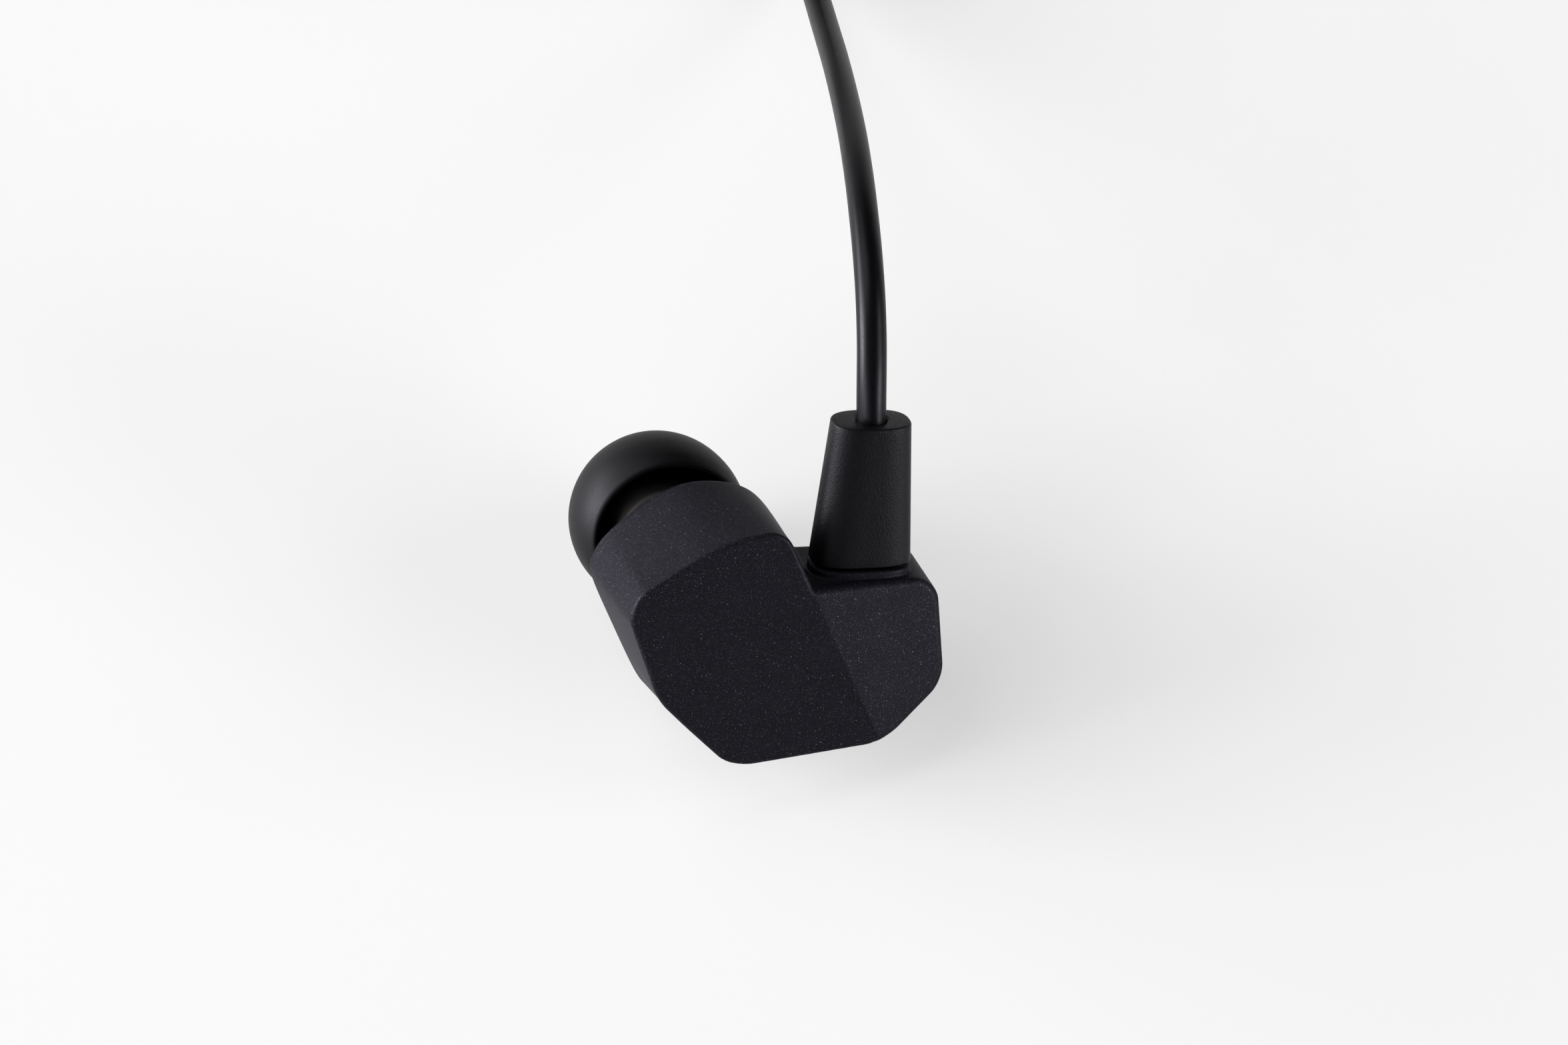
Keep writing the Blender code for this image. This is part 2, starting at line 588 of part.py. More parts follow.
def make_connector():
    foot_z = PLATFORM_Z + LIP_HEIGHT + GROOVE
    foot, head = oval(CONNECTOR_FOOT), oval(CONNECTOR_HEAD)
    rounding = CONNECTOR_ROUNDING
    steps = [(foot_z, 0.12 * MM), (foot_z + 0.12 * MM, 0)]
    for k in range(4):
        angle = pi / 2 * k / 3
        steps.append((CONNECTOR_TOP - rounding + rounding * sin(angle), rounding * (1 - cos(angle))))
    rings = []
    for z, inset in steps:
        share = (z - foot_z) / (CONNECTOR_TOP - foot_z)
        section = []
        for (x0, y0), (x1, y1) in zip(foot, head):
            x = x0 + (x1 - x0) * share
            y = y0 + (y1 - y0) * share
            shrink = 1 - inset / Vector((x, y)).length
            section.append((x * shrink, y * shrink, z))
        rings.append(section)
    shell = add_part("connector_shell", loft_mesh("connector_shell", rings), CONNECTOR_RESIN, CONNECTOR)
    pocket = oval_mesh("connector_pocket_cut", (5.6 * MM, 2.6 * MM), foot_z - 1 * MM, 9.0 * MM, 32)
    combine(shell, add_cutter("connector_pocket_cut", pocket, CONNECTOR), "DIFFERENCE")
    hole = cylinder_mesh("cable_hole_cut", CABLE_HOLE, 8.0 * MM, CONNECTOR_TOP + 1 * MM, 32)
    combine(shell, add_cutter("cable_hole_cut", hole, CONNECTOR), "DIFFERENCE")
    insert_mesh = oval_mesh("connector_insert", (5.0 * MM, 2.0 * MM), foot_z + 0.2 * MM, 7.6 * MM, 32)
    insert = add_part("connector_insert", insert_mesh, RESIN, CONNECTOR)
    for sign in (-1, 1):
        bore = cylinder_mesh("pin_hole_cut", 0.6 * MM, foot_z - 1 * MM, 9 * MM, 16)
        cutter = add_cutter(f"pin_hole_cut_{sign}", bore, CONNECTOR)
        cutter.location = (sign * PIN_PITCH / 2, 0, 0)
        combine(insert, cutter, "DIFFERENCE")


def make_cable():
    tube("cable_lead", smooth_points(LEAD_ROUTE, ROUTE_STEP), CABLE_RADIUS, JACKET)
    tube("cable_tail", smooth_points(TAIL_ROUTE, 2.4 * MM), CABLE_RADIUS, JACKET)
    inner, outer = COIL_RADII
    low, high = COIL_HEIGHTS
    edge = CABLE_RADIUS
    coil = turned(
        "cable_coil",
        [
            (outer - edge, high), (outer, high - edge), (outer, low + edge), (outer - edge, low),
            (inner + edge, low), (inner, low + edge), (inner, high - edge), (inner + edge, high),
        ],
        JACKET, None, 40,
    )
    coil.location = (*COIL_PLACE, 0)
    make_tie(inner, outer, low, high)


def make_tie(inner, outer, low, high):
    """A strap round the bundle of turns: a flat loop with its length along the coil."""
    def build(work):
        inside = (inner ** 2 - (TIE_WIDTH / 2) ** 2) ** 0.5 - GAP
        reach = (inside, outer + GAP, low - GAP, high + GAP)
        loops = []
        for side in (-TIE_WIDTH / 2, TIE_WIDTH / 2):
            for grow in (0.0, TIE_THICKNESS):
                near, far, down, up = reach
                near, far, down, up = near - grow, far + grow, down - grow, up + grow
                cut = 1.1 * MM
                points = [
                    (near + cut, down), (far - cut, down), (far, down + cut), (far, up - cut),
                    (far - cut, up), (near + cut, up), (near, up - cut), (near, down + cut),
                ]
                loops.append([work.verts.new((x, side, z)) for x, z in points])
        inner_low, outer_low, inner_high, outer_high = loops
        for i in range(8):
            j = (i + 1) % 8
            work.faces.new((outer_low[i], outer_low[j], outer_high[j], outer_high[i]))
            work.faces.new((inner_low[j], inner_low[i], inner_high[i], inner_high[j]))
            work.faces.new((inner_low[i], inner_low[j], outer_low[j], outer_low[i]))
            work.faces.new((inner_high[j], inner_high[i], outer_high[i], outer_high[j]))
    tie = add_part("cable_tie", mesh_from("cable_tie", build), HOOK_TAPE)
    tie.location = (*COIL_PLACE, 0)
    tie.rotation_euler = (0, 0, radians(TIE_ANGLE))


def make_plug():
    thin, thick, relief_long = PLUG_RELIEF
    barrel_radius, barrel_long = PLUG_BARREL
    relief = [(0, relief_long), (thick, relief_long), (thin, 0), (0, 0)]
    turned("plug_relief", relief, JACKET, PLUG, 24)
    low = relief_long + GAP
    high = low + barrel_long
    edge = 0.4 * MM
    barrel = [
        (0, high), (barrel_radius - edge, high), (barrel_radius, high - edge), (barrel_radius, low + edge),
        (barrel_radius - edge, low), (0, low),
    ]
    turned("plug_barrel", barrel, CONNECTOR_RESIN, PLUG, 40)
    at = high + PLUG_SEAM
    for name, length in PLUG_LENGTHS:
        metal = "insulator" not in name
        radius = PLUG_SHAFT_RADIUS if metal else PLUG_RING_RADIUS
        disc(name, radius, at, at + length * MM, GOLD if metal else RESIN, PLUG, 28)
        at += length * MM + PLUG_SEAM
    profile = [(radius * MM, at + height * MM) for radius, height in PLUG_TIP_PROFILE]
    turned("plug_tip", profile, GOLD, PLUG, 28)


make_casing()
make_front_cover()
make_nozzle()
make_eartip()
make_driver()
make_socket()
make_connector()
make_cable()
make_plug()
bpy.context.view_layer.update()
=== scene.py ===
"""Looks of the in-ear monitor: smooth shells, finishes, the cable at its full length, camera and light.

Metres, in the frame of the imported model. Shapes inside the earpiece are worked out in millimetres in its
design frame: +X to the right across the face, +Y from the face to the ear tip, +Z up along the connector.
"""

import json
from math import cos, pi, radians, sin

import bpy
import numpy as np
from mathutils import Euler, Matrix, Vector


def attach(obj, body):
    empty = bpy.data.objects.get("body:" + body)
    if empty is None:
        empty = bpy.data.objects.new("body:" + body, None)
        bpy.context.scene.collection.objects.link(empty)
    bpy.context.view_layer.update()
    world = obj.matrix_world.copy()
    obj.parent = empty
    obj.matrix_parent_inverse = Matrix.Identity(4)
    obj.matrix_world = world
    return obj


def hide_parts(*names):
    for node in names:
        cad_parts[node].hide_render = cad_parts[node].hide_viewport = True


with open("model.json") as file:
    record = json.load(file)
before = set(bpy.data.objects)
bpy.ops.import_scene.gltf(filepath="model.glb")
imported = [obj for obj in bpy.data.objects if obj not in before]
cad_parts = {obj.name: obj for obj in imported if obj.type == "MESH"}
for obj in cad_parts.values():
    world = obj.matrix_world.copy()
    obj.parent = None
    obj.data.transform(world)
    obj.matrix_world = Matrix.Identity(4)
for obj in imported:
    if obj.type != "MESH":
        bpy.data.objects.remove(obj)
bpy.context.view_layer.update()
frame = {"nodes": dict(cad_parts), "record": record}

MM = 0.001

# How the earpiece lies on the table
EARPIECE_PLACE = Vector((-0.46, -6.73, 11.92)) * MM
EARPIECE_TURN = Euler((radians(-34.5), radians(15.0), radians(18.1)), "YXZ")
EARPIECE = Matrix.Translation(EARPIECE_PLACE) @ EARPIECE_TURN.to_matrix().to_4x4()

# Camera: a long lens, level and in front
CAMERA_FROM_FACE = Vector((2.545, -136.85, 267.09)) * MM
CAMERA_TILT = 28.7
CAMERA_LENS = 101.02

# Casing: a side of the face is (direction it faces in degrees, distance from the axis, rounding of the
# corner after it), and a flat of the rim is (direction, distance)
CASING_AXIS = (-1.3, -0.15)
FACE_SIDES = (
    (26, 6.87, 1.35), (101, 7.7, 0.8), (124, 6.95, 1.9), (201, 5.75, 0.4), (225, 6.12, 0.34), (256, 8.66, 0.24),
    (277, 9.57, 0.9),
)
RIM_FLATS = ((205.5, 6.37), (128, 7.84), (34, 7.36))
RIM_POWER = 20
RIM_RADIUS = 8.2
RIM_DEPTH = 9.5
FACE_EDGE = 0.3
RIM_EDGE = 0.3

# Socket block and platform: corners are (x, z, rounding)
BLOCK_CORNERS = ((1.5, 3.67, 0), (13.8, 3.67, 1.9), (14.9, -4.25, 1.1), (10.62, -8.32, 0.9), (3.0, -9.255, 0))
BLOCK_UNDERCUT = 0.13
BLOCK_TURN = (0.156, 0.077)
BLOCK_HINGE = (4.38, 3.67)
BLOCK_BACK = 7.57
BLOCK_BACK_SLOPE = -0.08
BLOCK_EDGE = 0.45
BLOCK_BACK_EDGE = 0.45
BLOCK_FILLET = 0.25
PLATFORM_Z = 3.67

# Bore, front cover and vent
BORE_AXIS = (-0.9, 0.2)
BORE_RADIUS = 5.5
BORE_FLOOR = 1.4
COVER_Y = 9.8
COVER_SHARE = 0.97
COVER_RISE = 1.6
COVER_CROWN = 2.6
SPIGOT_RADII = (4.5, 5.2)
SPIGOT_DEPTH = 1.0
VENT_AXIS = (1.1, -2.4)
VENT_RADIUS = 1.0

# Connector, its lip and its socket
CONNECTOR_AXIS = (8.6, 3.5)
LIP_SIZE = (7.1, 4.0)
LIP_TOP = 4.22
POCKET_SIZE = (5.9, 2.9)
POCKET_FLOOR = -2.2
CHANNEL_RADIUS = 1.0
CHANNEL_AXIS = (3.5, -1.3)
CHANNEL_SPAN = (2.6, 8.6)
CONNECTOR_FOOT = (7.08, 3.88)
CONNECTOR_FOOT_POWER = 3.0
CONNECTOR_HEAD = (5.52, 3.66)
CONNECTOR_HEAD_POWER = 2.6
CONNECTOR_LEAN = -0.05
CONNECTOR_SPAN = (4.47, 14.8)
CONNECTOR_FOOT_EDGE = 0.12
CONNECTOR_HEAD_EDGE = 0.16
CONNECTOR_POCKET = (5.6, 2.6, 9.0)
CONNECTOR_SKIRT = (5.76, 2.76, 4.0)
CABLE_HOLE = 1.07

# Nozzle and ear tip
NOZZLE_AXIS = (-2.95, 2.65)
COVER_HOLE = 2.8
TIP_RADIUS = 6.15
TIP_CENTRE_Y = 15.0
SKIRT_DRIFT = 0.34
SKIRT_DRIFT_FROM = 17.0
SKIRT_DRIFT_LENGTH = 5.0

# Cable route: given points, in millimetres, from the connector to the coil and from it to the plug
CABLE_RADIUS = 0.98
LEAD_SWELL = 0.045
LEAD_ROUTE = (
    (7.98, 5.56, 18.92), (8.02, 6.28, 19.88), (8.02, 7.27, 21.0), (8.03, 8.57, 22.15),
    (8.04, 10.07, 23.1), (8.01, 11.77, 23.8), (7.95, 13.57, 24.2), (7.85, 15.67, 24.3),
    (7.72, 17.97, 24.1), (7.56, 20.47, 23.6), (7.39, 23.17, 22.7), (7.17, 26.27, 21.4),
    (6.92, 29.67, 19.6), (6.59, 33.57, 17.2), (6.2, 37.87, 14.3), (5.75, 42.47, 11.0),
    (5.2, 47.37, 7.5), (4.6, 52.2, 4.4), (3.9, 56.6, 2.3), (3.35, 60.2, 1.35), (3.05, 63.6, 1.1),
    (2.92, 67.0, 1.1), (2.9, 70.2, 1.1), (2.88, 73.0, 1.25),
)
TAIL_ROUTE = (
    (1.0, 67.4, 7.1), (3.1, 68.1, 6.5), (5.2, 69.3, 5.8), (7.0, 71.0, 5.0), (8.2, 73.1, 4.3),
    (8.85, 75.5, 3.75), (9.0, 77.7, 3.5), (9.0, 79.5, 3.45),
)
COIL_CENTRE = (-11.5, 79.0)
COIL_COLUMNS = (14.45, 12.45, 10.45, 8.45)
COIL_LAYERS = (1.9, 3.9, 5.9, 7.9)
COIL_SHIFT_START = 240
COIL_SHIFT_SWEEP = 60
COIL_LAYER_STAGGER = 120
COIL_EXIT_ANGLE = 285
COIL_STEP = 5

# Tie round the coil
TIE_ANGLE = 205
TIE_WIDTH = 5.0
TIE_THICKNESS = 0.5
TIE_REACH = (6.665, 15.9, 0.5, 9.3)
TIE_CORNER = 1.3
TIE_OVERLAP = 0.24

# Light: lamps are (name, place, size, watts), all turned to the object
WORLD_LIGHT = 0.005
FLOOR_GLOW = 0.5
FLOOR_LEVEL = -0.0001
FLOOR_REACH = 3.0
FLOOR_BEND = 0.3
FLOOR_BEND_STEPS = 24
FLOOR_RISE = 0.55
FLOOR_WHITE = 0.935
LAMPS = (
    ("overhead", (-0.57, 0.57, 0.95), (0.8, 0.8), 5.2),
    ("panel_left", (-2.18, 0.0, 0.42), (1.1, 0.8), 92.0),
    ("panel_left_back", (-1.95, 0.95, 0.4), (1.1, 0.7), 30.0),
    ("panel_left_high", (-1.07, 0.1, 0.6), (0.6, 0.44), 6.0),
    ("panel_left_front", (-1.74, -1.2, 0.55), (1.1, 0.8), 26.0),
    ("panel_front", (-0.5, -1.0, 0.4), (0.6, 0.44), 1.5),
    ("panel_right", (1.06, -0.54, 0.228), (0.5, 0.4), 9.5),
    ("panel_right_far", (2.1, -0.8, 0.45), (0.9, 0.7), 8.0),
    ("panel_right_high", (1.06, 0.0, 0.56), (0.6, 0.44), 4.5),
)

# Audio plug, along +Y: lengths from its cable end
PLUG_PLACE = (9.0, 78.0, 3.45)
PLUG_RELIEF = (1.5, 2.5, 6.5)
PLUG_BARREL = (3.3, 6.8, 20.8)
PLUG_GRIP_RINGS = 6
PLUG_SHAFT_RADIUS = 1.75
PLUG_RING_RADIUS = 1.6
PLUG_SEAM = 0.1
PLUG_LENGTHS = (
    ("plug_sleeve", 6.4), ("plug_insulator_rear", 0.7), ("plug_ring", 2.6), ("plug_insulator_front", 0.7),
)


# Meshes


def new_piece(name, points, faces, material, body, node=None, normals=None):
    """A mesh piece at its place in the frame, riding on a body and standing for a node."""
    data = bpy.data.meshes.new(name)
    data.from_pydata([tuple(p) for p in points], [], faces)
    data.validate()
    data.shade_smooth()
    if normals is not None:
        data.normals_split_custom_set_from_vertices([tuple(n) for n in normals])
    made = bpy.data.objects.new(name, data)
    bpy.context.scene.collection.objects.link(made)
    data.materials.append(material)
    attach(made, body)
    if node:
        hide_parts(node)
    return made


def to_frame(points):
    """Design-frame points in millimetres, as points of the frame in metres."""
    turn = np.array(EARPIECE.to_3x3())
    return np.asarray(points) * MM @ turn.T + np.array(EARPIECE_PLACE)


def along_axis(points, axis):
    """Points (x, y, height) about an axis of the earpiece that runs along +Y, as design-frame points."""
    points = np.asarray(points)
    return np.stack([axis[0] + points[:, 0], points[:, 2], axis[1] - points[:, 1]], 1)


def grid_faces(rows, columns, close_rows=False):
    """Quads over rows of points that each close on themselves."""
    faces = []
    last = rows if close_rows else rows - 1
    for i in range(last):
        for j in range(columns):
            k = (j + 1) % columns
            below = ((i + 1) % rows) * columns
            faces.append((i * columns + j, i * columns + k, below + k, below + j))
    return faces


def lathe(profile, segments):
    """A closed profile of (radius, height) turned about Z: points and faces, pointing out."""
    points = []
    for radius, height in profile:
        for j in range(segments):
            angle = -2 * pi * j / segments
            points.append((radius * cos(angle), radius * sin(angle), height))
    return np.array(points), grid_faces(len(profile), segments, True)


def smooth_line(points, step, closed=False):
    """Points at even steps on a smooth curve through given points of any dimension."""
    line = np.asarray(points, float)
    if closed:
        line = np.vstack([line[-1], line, line[0], line[1]])
    else:
        line = np.vstack([2 * line[0] - line[1], line, 2 * line[-1] - line[-2]])
    fine = []
    for before, start, end, after in zip(line, line[1:], line[2:], line[3:]):
        for t in np.linspace(0, 1, 16, endpoint=False):
            pull = (end - before) * t
            bend = (2 * before - 5 * start + 4 * end - after) * t * t
            lift = (3 * start - before - 3 * end + after) * t ** 3
            fine.append(start + (pull + bend + lift) / 2)
    fine.append(line[1] if closed else line[-2])
    fine = np.array(fine)
    walked = np.concatenate([[0], np.cumsum(np.linalg.norm(np.diff(fine, axis=0), axis=1))])
    count = max(2, round(walked[-1] / step))
    places = np.linspace(0, walked[-1], count + 1)
    if closed:
        places = places[:-1]
    return np.stack([np.interp(places, walked, fine[:, k]) for k in range(fine.shape[1])], 1)


# Solid fields: a field is negative inside and gives about the distance to the surface, in millimetres


def round_max(a, b, radius):
    """What is inside both fields, with a rounded edge where they meet."""
    corner = np.hypot(np.maximum(a + radius, 0), np.maximum(b + radius, 0))
    return np.minimum(np.maximum(a, b), -radius) + corner


def round_min(a, b, radius):
    """What is inside either field, with a fillet where they meet."""
    return -round_max(-a, -b, radius)


OUTLINE_ANGLES = np.linspace(0, 2 * pi, 2881)


def face_reach():
    """How far the face's outline reaches at each angle: flat sides with rounded corners."""
    def outline(radius):
        sides = []
        for turn, reach, _ in FACE_SIDES:
            sides.append(radius * np.cos(OUTLINE_ANGLES - radians(turn)) - reach)
        field = np.maximum.reduce(sides)
        for i, (_, _, rounding) in enumerate(FACE_SIDES):
            field = np.maximum(field, round_max(sides[i], sides[(i + 1) % len(sides)], rounding))
        return field

    low = np.zeros(OUTLINE_ANGLES.shape)
    high = low + 2 * RIM_RADIUS
    for _ in range(40):
        middle = (low + high) / 2
        within = outline(middle) < 0
        low = np.where(within, middle, low)
        high = np.where(within, high, middle)
    return low


def rim_reach():
    """How far the rim's outline reaches at each angle: a circle with a few flats."""
    total = np.full(OUTLINE_ANGLES.shape, RIM_RADIUS ** -RIM_POWER)
    for turn, reach in RIM_FLATS:
        facing = np.maximum(np.cos(OUTLINE_ANGLES - radians(turn)), 0)
        total += (facing / reach) ** RIM_POWER
    return total ** (-1 / RIM_POWER)


FACE_REACH = face_reach()
RIM_REACH = rim_reach()
FACE_SLOPE = np.gradient(FACE_REACH, OUTLINE_ANGLES)
RIM_SLOPE = np.gradient(RIM_REACH, OUTLINE_ANGLES)


def at_angle(table, angle):
    return np.interp(angle, OUTLINE_ANGLES, table)


def casing_polar(x, z):
    """Distance and angle about the casing's axis."""
    across, up = x - CASING_AXIS[0], z - CASING_AXIS[1]
    return np.hypot(across, up) + 1e-9, np.arctan2(up, across) % (2 * pi)


def wall_field(x, y, z):
    """The casing's side, from the outline of its face to the outline of its rim."""
    radius, angle = casing_polar(x, z)
    share = y / RIM_DEPTH
    face, rim = at_angle(FACE_REACH, angle), at_angle(RIM_REACH, angle)
    slope = at_angle(FACE_SLOPE, angle) * (1 - share) + at_angle(RIM_SLOPE, angle) * share
    steepness = np.sqrt(1 + (slope / np.maximum(radius, 3.0)) ** 2 + ((rim - face) / RIM_DEPTH) ** 2)
    return (radius - face * (1 - share) - rim * share) / steepness


def oval_field(x, y, size):
    """A flat-sided oval about the connector's axis."""
    bend = size[1] / 2
    straight = size[0] / 2 - bend
    along = np.maximum(np.abs(x - CONNECTOR_AXIS[0]) - straight, 0)
    return np.hypot(along, y - CONNECTOR_AXIS[1]) - bend


def lip_field(x, y):
    """A full oval about the connector's axis, like the connector's foot."""
    across = np.abs(x - CONNECTOR_AXIS[0]) / (LIP_SIZE[0] / 2)
    deep = np.abs(y - CONNECTOR_AXIS[1]) / (LIP_SIZE[1] / 2)
    power = CONNECTOR_FOOT_POWER
    return ((across ** power + deep ** power) ** (1 / power) - 1) * LIP_SIZE[1] / 2


def round_field(x, z, axis, radius):
    return np.hypot(x - axis[0], z - axis[1]) - radius


def block_field(x, y, z):
    """The socket block: its outline with rounded corners, its two front flats and its back."""
    sides = []
    for (x0, z0, _), (x1, z1, _) in zip(BLOCK_CORNERS, BLOCK_CORNERS[1:] + BLOCK_CORNERS[:1]):
        length = np.hypot(x1 - x0, z1 - z0)
        sides.append(((x - x0) * (z0 - z1) + (z - z0) * (x1 - x0)) / length)
    sides[3] = sides[3] + BLOCK_UNDERCUT * y
    outline = np.maximum.reduce(sides)
    for i, (_, _, rounding) in enumerate(BLOCK_CORNERS):
        outline = np.maximum(outline, round_max(sides[i - 1], sides[i], rounding))
    front = BLOCK_TURN[0] * (x - BLOCK_HINGE[0]) + BLOCK_TURN[1] * (z - BLOCK_HINGE[1]) - y
    back = y - BLOCK_BACK - BLOCK_BACK_SLOPE * (PLATFORM_Z - z)
    solid = round_max(outline, np.maximum(front, -y), BLOCK_EDGE)
    return round_max(solid, back, BLOCK_BACK_EDGE)


def casing_field(x, y, z):
    barrel = round_max(wall_field(x, y, z), y - RIM_DEPTH, RIM_EDGE)
    barrel = round_max(barrel, -y, FACE_EDGE)
    fillet = BLOCK_FILLET * np.clip((y - 0.4) / 1.2, 0, 1)
    solid = round_min(barrel, block_field(x, y, z), fillet)
    lip = round_max(lip_field(x, y), z - LIP_TOP, 0.12)
    lip = np.maximum(lip, PLATFORM_Z - 1 - z)
    solid = round_min(solid, lip, 0.1)
    bore = np.maximum(round_field(x, z, BORE_AXIS, BORE_RADIUS), BORE_FLOOR - y)
    pocket = np.maximum(oval_field(x, y, POCKET_SIZE), POCKET_FLOOR - z)
    channel = round_field(y, z, CHANNEL_AXIS, CHANNEL_RADIUS)
    channel = np.maximum(channel, np.maximum(x - CHANNEL_SPAN[1], CHANNEL_SPAN[0] - x))
    hollow = np.minimum(np.minimum(bore, pocket), channel)
    return round_max(solid, -hollow, 0.06)


def cover_field(x, y, z):
    """A shallow dome on the rim, with a spigot in the bore and holes for the nozzle and the vent."""
    radius, angle = casing_polar(x, z)
    reach = at_angle(RIM_REACH, angle) * COVER_SHARE
    crown = np.sqrt(np.maximum(1 - (radius / reach) ** COVER_CROWN, 0))
    dome = (y - COVER_Y - COVER_RISE * crown) * 0.9
    solid = round_max(round_max(radius - reach, dome, 0.2), COVER_Y - y, 0.1)
    from_bore = round_field(x, z, BORE_AXIS, 0)
    spigot = np.maximum(SPIGOT_RADII[0] - from_bore, from_bore - SPIGOT_RADII[1])
    spigot = np.maximum(spigot, np.maximum(COVER_Y - SPIGOT_DEPTH - y, y - COVER_Y - 0.2))
    solid = np.minimum(solid, spigot)
    hole = np.minimum(
        round_field(x, z, NOZZLE_AXIS, COVER_HOLE), round_field(x, z, VENT_AXIS, VENT_RADIUS)
    )
    return round_max(solid, -hole, 0.15)


def net_surface(field, low, high, step):
    """Points and quads of a field's surface: one point in each grid cell that the surface crosses."""
    axes = [np.arange(a - step, b + 2 * step, step) for a, b in zip(low, high)]
    value = field(*np.meshgrid(*axes, indexing="ij"))
    inside = value < 0
    corners = [(i, j, k) for i in (0, 1) for j in (0, 1) for k in (0, 1)]
    shape = np.array(value.shape) - 1

    def corner_of(array, corner):
        i, j, k = corner
        return array[i:i + shape[0], j:j + shape[1], k:k + shape[2]]

    count = sum(corner_of(inside, c).astype(np.int8) for c in corners)
    cells = np.argwhere((count > 0) & (count < 8))
    index = np.full(tuple(shape), -1)
    index[tuple(cells.T)] = np.arange(len(cells))
    total = np.zeros((len(cells), 3))
    crossings = np.zeros(len(cells))
    for start in corners:
        for axis in range(3):
            if start[axis]:
                continue
            end = tuple(1 if k == axis else start[k] for k in range(3))
            a = value[tuple((cells + start).T)]
            b = value[tuple((cells + end).T)]
            crossed = (a < 0) != (b < 0)
            share = np.where(crossed, a / np.where(crossed, a - b, 1), 0)
            place = np.tile(np.array(start, float), (len(cells), 1))
            place[:, axis] = share
            total += place * crossed[:, None]
            crossings += crossed
    points = np.array([axis[0] for axis in axes]) + (cells + total / crossings[:, None]) * step
    faces = []
    for axis in range(3):
        u, v = [k for k in range(3) if k != axis]
        if axis == 1:
            u, v = v, u
        first = np.moveaxis(inside, (axis, u, v), (0, 1, 2))
        a, b = first[:-1, 1:-1, 1:-1], first[1:, 1:-1, 1:-1]
        around = np.moveaxis(index, (axis, u, v), (0, 1, 2))
        quads = np.stack(
            [around[:, :-1, :-1], around[:, 1:, :-1], around[:, 1:, 1:], around[:, :-1, 1:]], -1
        )
        faces += quads[a & ~b].tolist()
        faces += quads[~a & b][:, ::-1].tolist()
    return points, faces


def field_normals(field, points):
    """The direction in which a field grows fastest, and how fast that is."""
    reach = 0.02
    steps = []
    for axis in range(3):
        shift = np.zeros(3)
        shift[axis] = reach
        steps.append((field(*(points + shift).T) - field(*(points - shift).T)) / (2 * reach))
    slope = np.stack(steps, 1)
    size = np.linalg.norm(slope, axis=1, keepdims=True) + 1e-9
    return slope / size, size[:, 0]


def field_piece(name, field, low, high, step, material, body, node):
    points, faces = net_surface(field, low, high, step)
    for _ in range(2):
        normals, size = field_normals(field, points)
        points = points - normals * np.clip(field(*points.T) / size, -step / 2, step / 2)[:, None]
    normals, _ = field_normals(field, points)
    turn = np.array(EARPIECE.to_3x3())
    return new_piece(name, to_frame(points), faces, material, body, node, normals @ turn.T)


# Materials

COOL_GLOSS = (0.90, 0.88, 1.0, 1)


